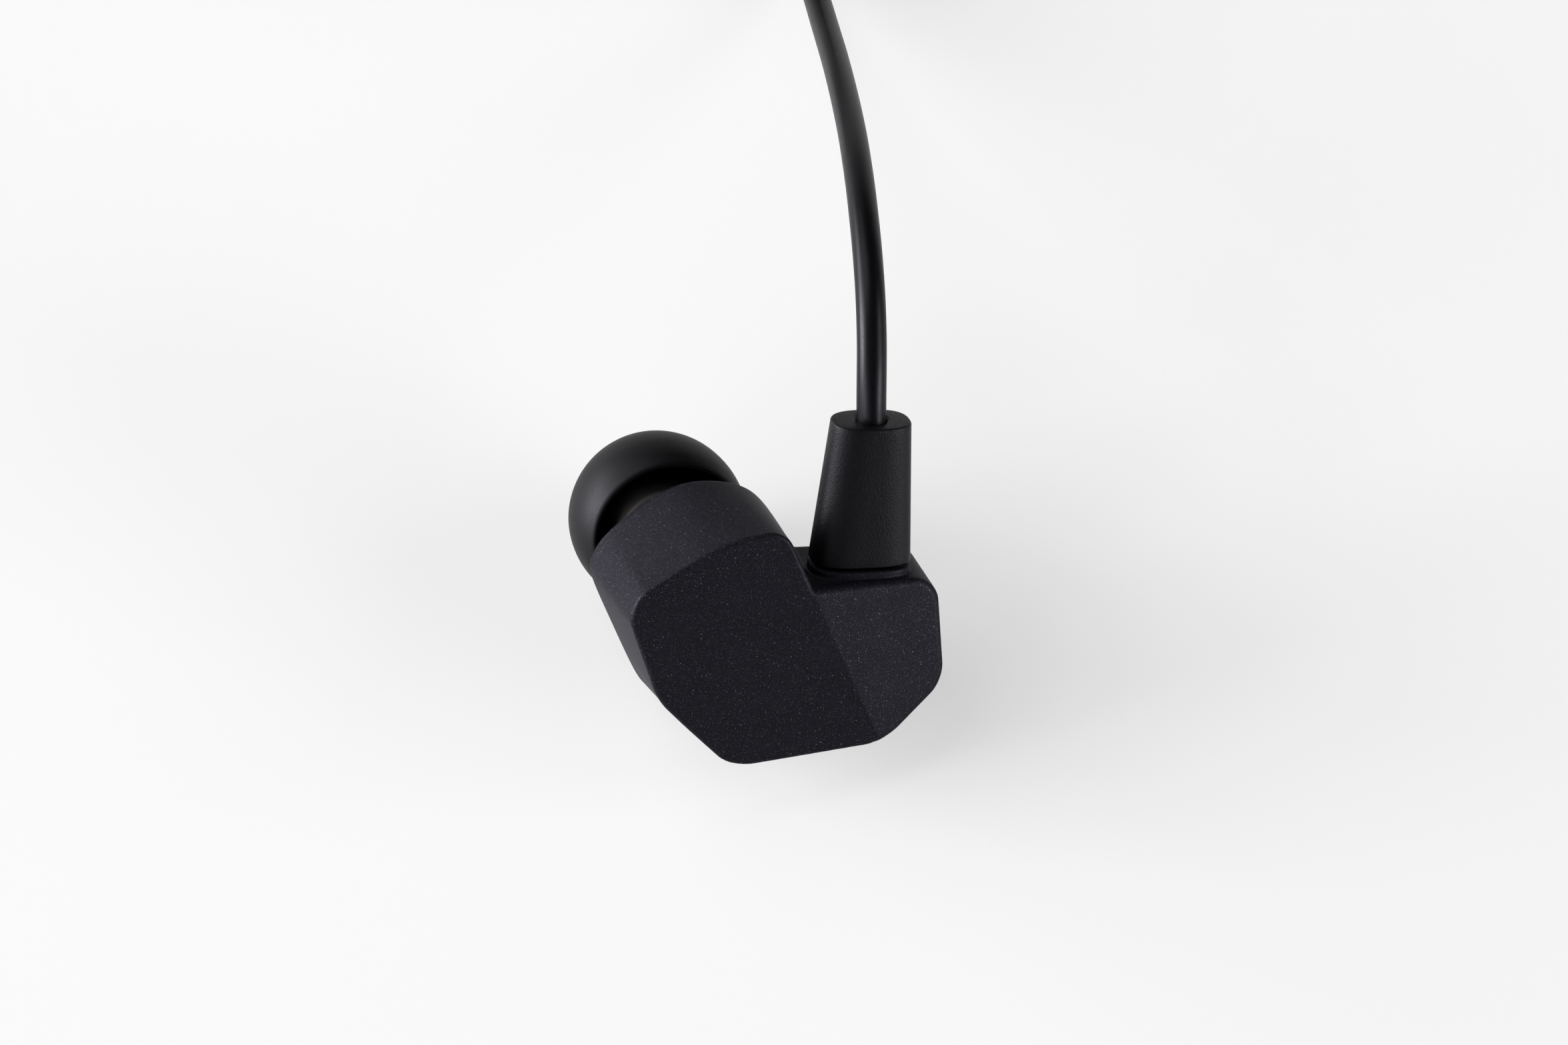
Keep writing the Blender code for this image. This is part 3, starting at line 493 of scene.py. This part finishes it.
class Finish:
    """A material under construction: its nodes and its Principled shader."""

    def __init__(self, name, color, roughness, metallic=0.0, specular=0.5):
        self.material = bpy.data.materials.new(name)
        self.material.use_nodes = True
        self.tree = self.material.node_tree
        self.shader = self.tree.nodes["Principled BSDF"]
        self.set("Base Color", (*color, 1))
        self.set("Roughness", roughness)
        self.set("Metallic", metallic)
        self.set("Specular IOR Level", specular)
        self.color = color
        self.roughness = roughness
        self.place = self.node("ShaderNodeTexCoord").outputs["Object"]

    def set(self, socket, value):
        self.shader.inputs[socket].default_value = value

    def node(self, kind, values=None, **settings):
        made = self.tree.nodes.new(kind)
        for name, value in settings.items():
            setattr(made, name, value)
        for socket, value in (values or {}).items():
            if isinstance(value, bpy.types.NodeSocket):
                self.tree.links.new(value, made.inputs[socket])
            else:
                made.inputs[socket].default_value = value
        return made

    def feed(self, socket, output):
        self.tree.links.new(output, self.shader.inputs[socket])

    def math(self, operation, a, b=0.0):
        return self.node("ShaderNodeMath", {0: a, 1: b}, operation=operation).outputs[0]

    def spread(self, value, low, high, to_low, to_high, kind="LINEAR"):
        values = {"Value": value, "From Min": low, "From Max": high, "To Min": to_low, "To Max": to_high}
        return self.node("ShaderNodeMapRange", values, interpolation_type=kind).outputs["Result"]

    def stretched(self, scale, turn=(0, 0, 0)):
        values = {"Vector": self.place, "Scale": scale, "Rotation": turn}
        return self.node("ShaderNodeMapping", values).outputs["Vector"]

    def noise(self, size, detail=3.0, place=None, distortion=0.0):
        """Noise whose features are about a size across, in millimetres."""
        values = {
            "Vector": place or self.place, "Scale": 1 / (size * MM), "Detail": detail, "Distortion": distortion,
        }
        return self.node("ShaderNodeTexNoise", values).outputs["Fac"]

    def cells(self, size, feature="F1"):
        values = {"Vector": self.place, "Scale": 1 / (size * MM)}
        return self.node("ShaderNodeTexVoronoi", values, feature=feature)

    def mix(self, share, first, second):
        made = self.node("ShaderNodeMix", data_type="RGBA")
        for socket, value in ((0, share), (6, first), (7, second)):
            if isinstance(value, bpy.types.NodeSocket):
                self.tree.links.new(value, made.inputs[socket])
            elif socket:
                made.inputs[socket].default_value = (*value, 1)
            else:
                made.inputs[socket].default_value = value
        return made.outputs[2]

    def bump(self, height, depth, strength=1.0):
        """Relief of a depth in millimetres."""
        values = {"Height": height, "Distance": depth * MM, "Strength": strength}
        made = self.node("ShaderNodeBump", values).outputs["Normal"]
        self.feed("Normal", made)

    def worn(self, size, color_spread, rough_spread, depth):
        """Slight unevenness of colour, gloss and surface, with features of a size in millimetres."""
        broad = self.noise(size * 6, 2)
        fine = self.noise(size, 4)
        darker = tuple(c * (1 - color_spread) for c in self.color)
        lighter = tuple(min(1, c * (1 + color_spread)) for c in self.color)
        self.feed("Base Color", self.mix(broad, darker, lighter))
        low, high = self.roughness - rough_spread, self.roughness + rough_spread
        self.feed("Roughness", self.spread(fine, 0.3, 0.7, low, high))
        self.bump(fine, depth)
        return self.material


def casing_finish():
    """Black lacquer full of fine pale specks, over a faint orange-peel surface."""
    made = Finish("casing_speckled", (0.0085, 0.0080, 0.0110), 0.46, 0.42, 0.06)
    made.set("Specular Tint", (0.5, 0.5, 0.52, 1))
    specks = None
    for size, radius, share in ((0.085, 0.36, 0.13), (0.12, 0.28, 0.25), (0.29, 0.14, 0.6)):
        cell = made.cells(size)
        pick = made.node("ShaderNodeSeparateColor", {"Color": cell.outputs["Color"]})
        dot = made.spread(cell.outputs["Distance"], radius * 0.4, radius, 1.0, 0.0, "SMOOTHSTEP")
        strength = made.math("POWER", pick.outputs[0], 1.4)
        dot = made.math("MULTIPLY", dot, made.math("MULTIPLY", strength, share))
        specks = dot if specks is None else made.math("MAXIMUM", specks, dot)
    cloud = made.noise(2.5, 2)
    ground = made.mix(cloud, (0.0088, 0.0084, 0.0116), (0.0116, 0.0110, 0.0150))
    made.feed("Base Color", made.mix(specks, ground, (0.31, 0.32, 0.38)))
    made.feed("Roughness", made.spread(specks, 0.0, 1.0, 0.46, 0.4))
    made.bump(made.noise(0.09, 3), 0.0025)
    return made.material


def connector_finish():
    """Black resin with a fine moulded grain that leans to one side."""
    made = Finish("connector_grained", (0.0025, 0.0024, 0.0029), 0.42, 0.0, 0.12)
    made.set("Specular Tint", COOL_GLOSS)
    leaning = made.stretched((1.0, 0.75, 0.55), (0.2, radians(35), 0.3))
    grain = made.noise(0.10, 3, leaning, 0.6)
    pits = made.cells(0.085, "SMOOTH_F1").outputs["Distance"]
    relief = made.math("ADD", grain, made.math("MULTIPLY", pits, 0.45))
    made.feed("Base Color", made.mix(grain, (0.0016, 0.0015, 0.0019), (0.0032, 0.0031, 0.0038)))
    made.feed("Roughness", made.spread(grain, 0.3, 0.7, 0.48, 0.38))
    made.bump(relief, 0.03, 0.9)
    return made.material


def silicone_finish(name, color):
    """Soft silicone: matte, with the faintest cloudiness."""
    made = Finish(name, color, 0.5, 0.0, 0.12)
    made.set("Specular Tint", COOL_GLOSS)
    return made.worn(0.12, 0.12, 0.05, 0.002)


def jacket_finish():
    """Smooth satin cable jacket with slight drawing marks."""
    made = Finish("jacket_satin", (0.0020, 0.0019, 0.0024), 0.37, 0.0, 0.14)
    made.set("Specular Tint", COOL_GLOSS)
    return made.worn(0.2, 0.15, 0.04, 0.0016)


def metal_finish(name, color, roughness, size=0.1):
    """Plated or turned metal with fine marks."""
    return Finish(name, color, roughness, 1.0).worn(size, 0.10, 0.06, 0.0015)


def weave_finish():
    """Hook-and-loop tape: a dense pile of short loops."""
    made = Finish("hook_tape_pile", (0.013, 0.013, 0.014), 0.85, 0.0, 0.25)
    loops = made.cells(0.22, "SMOOTH_F1").outputs["Distance"]
    fuzz = made.math("ADD", loops, made.math("MULTIPLY", made.noise(0.1, 4), 0.6))
    made.feed("Base Color", made.mix(fuzz, (0.022, 0.022, 0.024), (0.007, 0.007, 0.008)))
    made.feed("Roughness", made.spread(fuzz, 0.2, 1.0, 0.75, 0.95))
    made.set("Sheen Weight", 0.15)
    made.bump(fuzz, 0.09)
    return made.material


def plain_finish(name, color, roughness, size=0.15, depth=0.004):
    return Finish(name, color, roughness).worn(size, 0.14, 0.06, depth)


FINISHES = {
    "casing": casing_finish(),
    "connector_resin": connector_finish(),
    "cable_jacket": jacket_finish(),
    "silicone": silicone_finish("silicone_matte", (0.0030, 0.0029, 0.0034)),
    "silicone_core": silicone_finish("silicone_core_matte", (0.045, 0.042, 0.042)),
    "brass": metal_finish("brass_turned", (0.58, 0.42, 0.18), 0.3),
    "gold_plate": metal_finish("gold_plate_fine", (0.86, 0.62, 0.28), 0.2),
    "steel": metal_finish("steel_plain", (0.42, 0.42, 0.43), 0.33),
    "magnet": metal_finish("nickel_plate", (0.52, 0.52, 0.54), 0.25),
    "film": plain_finish("film_satin", (0.50, 0.46, 0.36), 0.35),
    "copper": metal_finish("copper_winding", (0.62, 0.28, 0.13), 0.35),
    "paper": plain_finish("paper_porous", (0.58, 0.56, 0.50), 0.9, 0.08, 0.01),
    "foam": plain_finish("foam_open", (0.045, 0.045, 0.045), 0.9, 0.12, 0.03),
    "board": plain_finish("board_mask", (0.02, 0.11, 0.05), 0.4),
    "wire_red": plain_finish("wire_red_smooth", (0.42, 0.02, 0.02), 0.4),
    "wire_black": plain_finish("wire_black_smooth", (0.02, 0.02, 0.02), 0.4),
    "socket_resin": plain_finish("socket_resin_matte", (0.018, 0.018, 0.02), 0.5),
    "hook_tape": weave_finish(),
}


def dress_nodes():
    """Every node of the frame takes the finish of its slot."""
    for entry in frame["record"]["subparts"]:
        data = frame["nodes"][entry["node"]].data
        data.materials.clear()
        data.materials.append(FINISHES[entry["material_slot"]])


# Cable


def eased(share):
    """From 0 to 1 in two even bends."""
    return np.where(share < 0.5, 2 * share ** 2, 1 - 2 * (1 - share) ** 2)


def coil_points():
    """The cable's turns in layers: in along the first layer, out along the next, and so on."""
    stops = [(0, COIL_COLUMNS[0], COIL_LAYERS[0])]

    def next_angle(after, wanted):
        return after + (wanted - after) % 360

    angle = 1
    for layer, height in enumerate(COIL_LAYERS):
        columns = COIL_COLUMNS if layer % 2 == 0 else COIL_COLUMNS[::-1]
        shift = COIL_SHIFT_START - COIL_LAYER_STAGGER * layer
        for column, following in zip(columns, columns[1:]):
            angle = next_angle(angle, shift)
            stops.append((angle, column, height))
            angle += COIL_SHIFT_SWEEP
            stops.append((angle, following, height))
        if layer < len(COIL_LAYERS) - 1:
            angle = next_angle(angle, shift - COIL_SHIFT_SWEEP)
            stops.append((angle, columns[-1], height))
            angle += COIL_SHIFT_SWEEP
            stops.append((angle, columns[-1], COIL_LAYERS[layer + 1]))
    stops.append((next_angle(angle, COIL_EXIT_ANGLE), columns[-1], COIL_LAYERS[-1]))
    angles, radii, heights = np.array(stops, float).T
    at = np.arange(0, angles[-1], COIL_STEP)
    stop = np.searchsorted(angles, at, side="right") - 1
    share = eased((at - angles[stop]) / (angles[stop + 1] - angles[stop]))
    radius = radii[stop] + (radii[stop + 1] - radii[stop]) * share
    height = heights[stop] + (heights[stop + 1] - heights[stop]) * share
    turn = np.radians(at)
    across = COIL_CENTRE[0] + radius * np.cos(turn)
    return np.stack([across, COIL_CENTRE[1] + radius * np.sin(turn), height], 1)


def make_cable():
    lead = smooth_line(LEAD_ROUTE, 0.6)
    coil = coil_points()
    tail = smooth_line(TAIL_ROUTE, 0.6)
    into_coil = smooth_line([lead[-2], lead[-1], coil[2], coil[3]], 0.8)[3:-3]
    points = np.vstack([lead, into_coil, coil[3:-1], tail]) * MM
    data = bpy.data.curves.new("cable", "CURVE")
    data.dimensions = "3D"
    data.bevel_depth = CABLE_RADIUS * MM
    data.bevel_resolution = 10
    data.use_fill_caps = True
    line = data.splines.new("POLY")
    line.points.add(len(points) - 1)
    for i, (place, point) in enumerate(zip(line.points, points)):
        place.co = (*point, 1)
        place.radius = 1 + LEAD_SWELL * min(max(3 - 3 * i / len(lead), 0), 1)
    line.use_smooth = True
    made = bpy.data.objects.new("cable", data)
    bpy.context.scene.collection.objects.link(made)
    data.materials.append(FINISHES["cable_jacket"])
    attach(made, "cable")
    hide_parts("cable_lead", "cable_coil", "cable_tail")
    return made


def make_tie():
    """A strap round the coil's turns whose end laps over its start, on the outer side and the top."""
    near, far, low, high = TIE_REACH
    half = TIE_THICKNESS / 2
    corners = (
        (far + half, high + half, 0), (near - half, high + half, 90), (near - half, low - half, 180),
        (far + half, low - half, 270),
    )
    middle_x, middle_z = (near + far) / 2, (low + high) / 2
    loop = []
    for x, z, start in corners:
        x -= np.copysign(TIE_CORNER, x - middle_x)
        z -= np.copysign(TIE_CORNER, z - middle_z)
        for k in range(9):
            angle = radians(start + 90 * k / 8)
            loop.append((x + TIE_CORNER * cos(angle), z + TIE_CORNER * sin(angle)))
    loop = np.array(loop + loop[:1])
    walked = np.concatenate([[0], np.cumsum(np.linalg.norm(np.diff(loop, axis=0), axis=1))])
    whole = walked[-1]
    at = np.arange(0, whole * (1 + TIE_OVERLAP), 0.3)
    line = np.stack([np.interp(at % whole, walked, loop[:, k]) for k in (0, 1)], 1)
    ahead = np.stack([np.interp((at + 0.05) % whole, walked, loop[:, k]) for k in (0, 1)], 1)
    way = (ahead - line) / np.linalg.norm(ahead - line, axis=1, keepdims=True)
    out = np.stack([way[:, 1], -way[:, 0]], 1)
    line = line + out * eased(np.clip((at / whole - 0.94) / 0.06, 0, 1))[:, None] * TIE_THICKNESS * 1.04
    edge = TIE_WIDTH / 2
    section = (
        (-edge, 0.1), (-edge + 0.14, half), (edge - 0.14, half), (edge, 0.1),
        (edge, -0.1), (edge - 0.14, -half), (-edge + 0.14, -half), (-edge, -0.1),
    )
    turn = radians(TIE_ANGLE)
    outward, along = np.array((cos(turn), sin(turn), 0)), np.array((-sin(turn), cos(turn), 0))
    points = []
    for (x, z), (out_x, out_z) in zip(line, out):
        for side, lift in section:
            place = outward * (x + out_x * lift) + along * side
            place = place + np.array((*COIL_CENTRE, z + out_z * lift))
            points.append(place * MM)
    count = len(section)
    faces = grid_faces(len(line), count)
    faces.append(tuple(range(count)))
    faces.append(tuple(len(points) - 1 - k for k in range(count)))
    made = new_piece("cable_strap", points, faces, FINISHES["hook_tape"], "cable", "cable_tie")
    return made


def plug_piece(name, profile, slot, node):
    """A turned piece of the plug, from a closed profile of (radius, distance from the cable end)."""
    points, faces = lathe(profile, 72)
    points = np.stack([points[:, 0], points[:, 2], -points[:, 1]], 1) + np.array(PLUG_PLACE)
    made = new_piece(name, points * MM, faces, FINISHES[slot], "cable", node)
    return made


def make_plug():
    """A ribbed strain relief, a barrel with grip rings, and the contacts with their insulators."""
    thin, thick, long = PLUG_RELIEF
    bore = CABLE_RADIUS + 0.03
    relief = [(thick, long), (bore, long), (bore, 0.0), (thin, 0.0), (thin + 0.08, 0.12)]
    ribs = 5
    for k in range(ribs):
        for share, depth in ((0.0, 0.0), (0.1, 0.25), (0.35, 0.25), (0.45, 0.0)):
            height = 0.8 + (long - 1.4) * (k + share) / ribs
            relief.append((thin + (thick - thin) * height / long - depth, height))
    pieces = [plug_piece("plug_relief_ribbed", relief[::-1], "cable_jacket", "plug_relief")]
    radius, low, high = PLUG_BARREL
    barrel = [(1.0, low), (radius - 0.45, low), (radius - 0.12, low + 0.12), (radius, low + 0.45)]
    for k in range(PLUG_GRIP_RINGS):
        start = low + 1.2 + k * 0.9
        barrel += [(radius, start), (radius - 0.22, start + 0.12), (radius - 0.22, start + 0.34), (radius, start + 0.46)]
    barrel += [(radius, high - 1.6), (radius - 0.08, high - 0.6), (radius - 0.35, high - 0.12), (radius - 0.7, high)]
    barrel += [(1.0, high)]
    pieces.append(plug_piece("plug_grip", barrel, "connector_resin", "plug_barrel"))
    at = high + PLUG_SEAM
    edge = 0.06
    for name, length in PLUG_LENGTHS:
        metal = "insulator" not in name
        radius = PLUG_SHAFT_RADIUS if metal else PLUG_RING_RADIUS
        band = [
            (0.6, at), (radius - edge, at), (radius, at + edge), (radius, at + length - edge),
            (radius - edge, at + length), (0.6, at + length),
        ]
        pieces.append(plug_piece(name + "_turned", band, "gold_plate" if metal else "socket_resin", name))
        at += length + PLUG_SEAM
    tip = smooth_line([(1.2, 0.0), (1.2, 0.7), (1.34, 1.05), (1.6, 1.62), (1.68, 1.9), (1.6, 2.2), (1.3, 2.75),
                       (0.8, 3.25), (0.3, 3.45), (0.04, 3.5)], 0.14)
    tip = [(0.04, at)] + [(radius, at + height) for radius, height in tip]
    pieces.append(plug_piece("plug_point", tip, "gold_plate", "plug_tip"))
    return pieces


# Ear tip, nozzle and connector


def nozzle_piece(name, profile, segments, slot, body, node, drift=0):
    """A turned piece about the nozzle's axis, from a closed profile of (radius, depth from the face)."""
    points, faces = lathe(profile, segments)
    near = np.clip((SKIRT_DRIFT_FROM - points[:, 2]) / SKIRT_DRIFT_LENGTH, 0, 1)
    points[:, 0] += drift * near ** 2
    made = new_piece(name, to_frame(along_axis(points, NOZZLE_AXIS)), faces, FINISHES[slot], body, node)
    return made


def make_eartip():
    """The dome is a ball in front and draws in to a thin skirt behind; the core runs through it."""
    outer = [
        (3.4, 20.2), (3.62, 20.12), (4.2, 19.62), (5.0, 18.72), (5.66, 17.6), (6.08, 16.35), (6.24, 15.0),
        (6.18, 13.9), (5.99, 13.0), (5.7, 12.3), (5.56, 12.08),
    ]
    skirt = [(5.42, 12.02), (5.26, 12.14)]
    inner = [(5.36, 12.7), (5.52, 13.6), (5.55, 14.8), (5.35, 16.2), (4.9, 17.4), (4.2, 18.4), (3.4, 18.95)]
    profile = smooth_line(outer + skirt + inner, 0.16)
    nozzle_piece("eartip_dome_soft", profile[::-1], 128, "silicone", "eartip", "eartip_dome", SKIRT_DRIFT)
    core = [
        (3.42, 19.9), (3.42, 12.3), (3.34, 11.96), (3.15, 11.9), (2.95, 11.96), (2.85, 12.2), (2.82, 19.8),
        (2.9, 20.05), (3.1, 20.16), (3.32, 20.08),
    ]
    nozzle_piece("eartip_core_soft", core[::-1], 96, "silicone_core", "eartip", "eartip_core")


def make_nozzle():
    """A turned sound tube with a barbed lip, and woven wire over its mouth and over the vent."""
    profile = [
        (1.9, 9.9), (2.4, 9.9), (2.4, 17.95), (2.5, 18.15), (2.64, 18.4), (2.65, 18.8), (2.58, 18.95),
        (2.42, 19.16), (2.3, 19.2), (1.98, 19.2), (1.9, 19.1),
    ]
    nozzle_piece("sound_tube", profile, 96, "brass", "housing", "nozzle")
    woven("nozzle_weave", NOZZLE_AXIS, 1.75, 18.85, "nozzle_mesh")
    woven("vent_weave", VENT_AXIS, 0.85, COVER_Y + 0.75, "vent_mesh")


def woven(name, axis, radius, depth, node):
    """A disc of wires that pass over and under each other, in a thin rim."""
    pitch, wire = 0.25, 0.06
    points, faces = lathe(
        [(radius - 0.1, depth - wire), (radius, depth - wire), (radius, depth + wire), (radius - 0.1, depth + wire)],
        48,
    )
    points = [tuple(p) for p in points]
    count = int(radius / pitch)
    sides = 6
    for across in (False, True):
        for k in range(-count, count + 1):
            offset = k * pitch
            half = (max(radius ** 2 - offset ** 2, 0) ** 0.5) - 0.02
            if half < pitch:
                continue
            steps = max(4, int(half * 2 / (pitch / 3)))
            first = len(points)
            for i in range(steps + 1):
                at = -half + 2 * half * i / steps
                sway = wire * 0.8 * cos(pi * at / pitch) * (-1) ** (k + across)
                for j in range(sides):
                    angle = 2 * pi * j / sides
                    side, lift = offset + wire * cos(angle), depth + sway + wire * sin(angle)
                    points.append((side, at, lift) if across else (at, -side, lift))
            faces += [tuple(first + v for v in face) for face in grid_faces(steps + 1, sides)]
            faces.append(tuple(first + j for j in range(sides)))
            faces.append(tuple(first + steps * sides + sides - 1 - j for j in range(sides)))
    made = new_piece(name, to_frame(along_axis(points, axis)), faces, FINISHES["steel"], "housing", node)


def oval_ring(size, count, power):
    """Points on an oval: an ellipse at power 2, fuller at higher powers."""
    points = []
    for i in range(count):
        angle = 2 * pi * i / count
        fullness = (abs(cos(angle)) ** power + abs(sin(angle)) ** power) ** (-1 / power)
        points.append((fullness * size[0] / 2 * cos(angle), fullness * size[1] / 2 * sin(angle)))
    return np.array(points)


def make_connector():
    """A tapered oval boot: rounded foot and head, a hole for the cable and a pocket for the pins."""
    count = 144
    low, high = CONNECTOR_SPAN
    foot = oval_ring(CONNECTOR_FOOT, count, CONNECTOR_FOOT_POWER)
    head = oval_ring(CONNECTOR_HEAD, count, CONNECTOR_HEAD_POWER)
    away = foot / np.linalg.norm(foot, axis=1, keepdims=True)
    rows = []

    def outer_row(height, inset):
        share = (height - low) / (high - low)
        section = foot + (head - foot + (CONNECTOR_LEAN, 0)) * share - away * inset
        rows.append(np.column_stack([section, np.full(count, height)]))

    for k in range(5):
        angle = pi / 2 * k / 4
        outer_row(low + CONNECTOR_FOOT_EDGE * (1 - cos(angle)), CONNECTOR_FOOT_EDGE * (1 - sin(angle)))
    for height in np.linspace(low + CONNECTOR_FOOT_EDGE, high - CONNECTOR_HEAD_EDGE, 24)[1:]:
        outer_row(height, 0)
    for k in range(1, 6):
        angle = pi / 2 * k / 5
        edge = CONNECTOR_HEAD_EDGE
        outer_row(high - edge + edge * sin(angle), edge * (1 - cos(angle)))
    turns = np.arctan2(foot[:, 1], foot[:, 0])
    hole = np.column_stack([np.cos(turns), np.sin(turns)])
    for radius, height in ((1.4, high), (1.08, high), (CABLE_HOLE, high - 0.06), (CABLE_HOLE, 9.0)):
        rows.append(np.column_stack([hole * radius, np.full(count, height)]))
    pocket = oval_ring(CONNECTOR_POCKET[:2], count, CONNECTOR_FOOT_POWER)
    rows.append(np.column_stack([pocket, np.full(count, CONNECTOR_POCKET[2])]))
    rows.append(np.column_stack([pocket, np.full(count, CONNECTOR_SKIRT[2])]))
    skirt = oval_ring(CONNECTOR_SKIRT[:2], count, CONNECTOR_FOOT_POWER)
    rows.append(np.column_stack([skirt, np.full(count, CONNECTOR_SKIRT[2])]))
    rows.append(np.column_stack([skirt, np.full(count, low)]))
    points = np.vstack(rows) + np.array((CONNECTOR_AXIS[0], CONNECTOR_AXIS[1], 0))
    faces = [face[::-1] for face in grid_faces(len(rows), count, True)]
    made = new_piece(
        "connector_boot", to_frame(points), faces, FINISHES["connector_resin"], "cable", "connector_shell"
    )


# Camera, floor and light


def make_camera():
    data = bpy.data.cameras.new("camera")
    data.sensor_width = 36
    data.lens = CAMERA_LENS
    data.clip_start = 0.01
    made = bpy.data.objects.new("camera", data)
    made.location = EARPIECE_PLACE + CAMERA_FROM_FACE
    made.rotation_euler = (radians(CAMERA_TILT), 0, 0)
    bpy.context.scene.collection.objects.link(made)
    bpy.context.scene.camera = made


def make_floor():
    """White paper, curved up at the back, that shows partly by its own light, so that shadows stay pale."""
    profile = [(-FLOOR_REACH, 0)]
    for k in range(FLOOR_BEND_STEPS + 1):
        angle = pi / 2 * k / FLOOR_BEND_STEPS
        profile.append((FLOOR_REACH - FLOOR_BEND * (1 - sin(angle)), FLOOR_BEND * (1 - cos(angle))))
    profile.append((FLOOR_REACH, FLOOR_RISE))
    points, faces = [], []
    for i, (y, z) in enumerate(profile):
        points += [(-FLOOR_REACH, y, FLOOR_LEVEL + z), (FLOOR_REACH, y, FLOOR_LEVEL + z)]
        if i:
            faces.append((2 * i - 2, 2 * i - 1, 2 * i + 1, 2 * i))
    data = bpy.data.meshes.new("floor")
    data.from_pydata(points, [], faces)
    data.shade_smooth()
    made = bpy.data.objects.new("floor", data)
    bpy.context.scene.collection.objects.link(made)
    material = bpy.data.materials.new("floor_white")
    material.use_nodes = True
    tree = material.node_tree
    shader = tree.nodes["Principled BSDF"]
    shader.inputs["Base Color"].default_value = (0.72, 0.72, 0.72, 1)
    shader.inputs["Roughness"].default_value = 0.9
    shader.inputs["Specular IOR Level"].default_value = 0.1
    path = tree.nodes.new("ShaderNodeLightPath")
    share = path.outputs["Is Camera Ray"]
    for ray in ("Is Glossy Ray", "Is Transmission Ray"):
        either = tree.nodes.new("ShaderNodeMath")
        either.operation = "MAXIMUM"
        tree.links.new(share, either.inputs[0])
        tree.links.new(path.outputs[ray], either.inputs[1])
        share = either.outputs[0]
    part = tree.nodes.new("ShaderNodeMath")
    part.operation = "MULTIPLY"
    part.inputs[1].default_value = FLOOR_GLOW
    tree.links.new(share, part.inputs[0])
    glow = tree.nodes.new("ShaderNodeEmission")
    glow.inputs["Strength"].default_value = FLOOR_WHITE
    mix = tree.nodes.new("ShaderNodeMixShader")
    tree.links.new(part.outputs[0], mix.inputs[0])
    tree.links.new(shader.outputs[0], mix.inputs[1])
    tree.links.new(glow.outputs[0], mix.inputs[2])
    tree.links.new(mix.outputs[0], tree.nodes["Material Output"].inputs["Surface"])
    data.materials.append(material)


def add_light(name, place, target, size, power):
    data = bpy.data.lights.new(name, "AREA")
    data.shape = "RECTANGLE"
    data.size, data.size_y = size
    data.energy = power
    made = bpy.data.objects.new(name, data)
    made.location = place
    made.rotation_euler = (Vector(target) - Vector(place)).to_track_quat("-Z", "Y").to_euler()
    bpy.context.scene.collection.objects.link(made)


def make_light():
    world = bpy.data.worlds.new("studio")
    bpy.context.scene.world = world
    world.use_nodes = True
    back = world.node_tree.nodes["Background"]
    back.inputs["Color"].default_value = (1, 1, 1, 1)
    back.inputs["Strength"].default_value = WORLD_LIGHT
    for name, place, size, power in LAMPS:
        add_light(name, place, (0, 0, 0.01), size, power)


make_camera()
dress_nodes()
cable = make_cable()
field_piece(
    "casing", casing_field, (-10.2, -0.4, -10.0), (15.2, 9.9, 8.5), 0.16, FINISHES["casing"], "housing",
    "rear_shell",
)
field_piece(
    "cover", cover_field, (-10.2, 8.6, -9.0), (8.0, 11.8, 8.5), 0.16, FINISHES["casing"], "housing", "front_cover"
)
make_eartip()
make_nozzle()
make_connector()
tie = make_tie()
plug = make_plug()
make_floor()
make_light()

scene = bpy.context.scene
scene.view_settings.view_transform = "Standard"
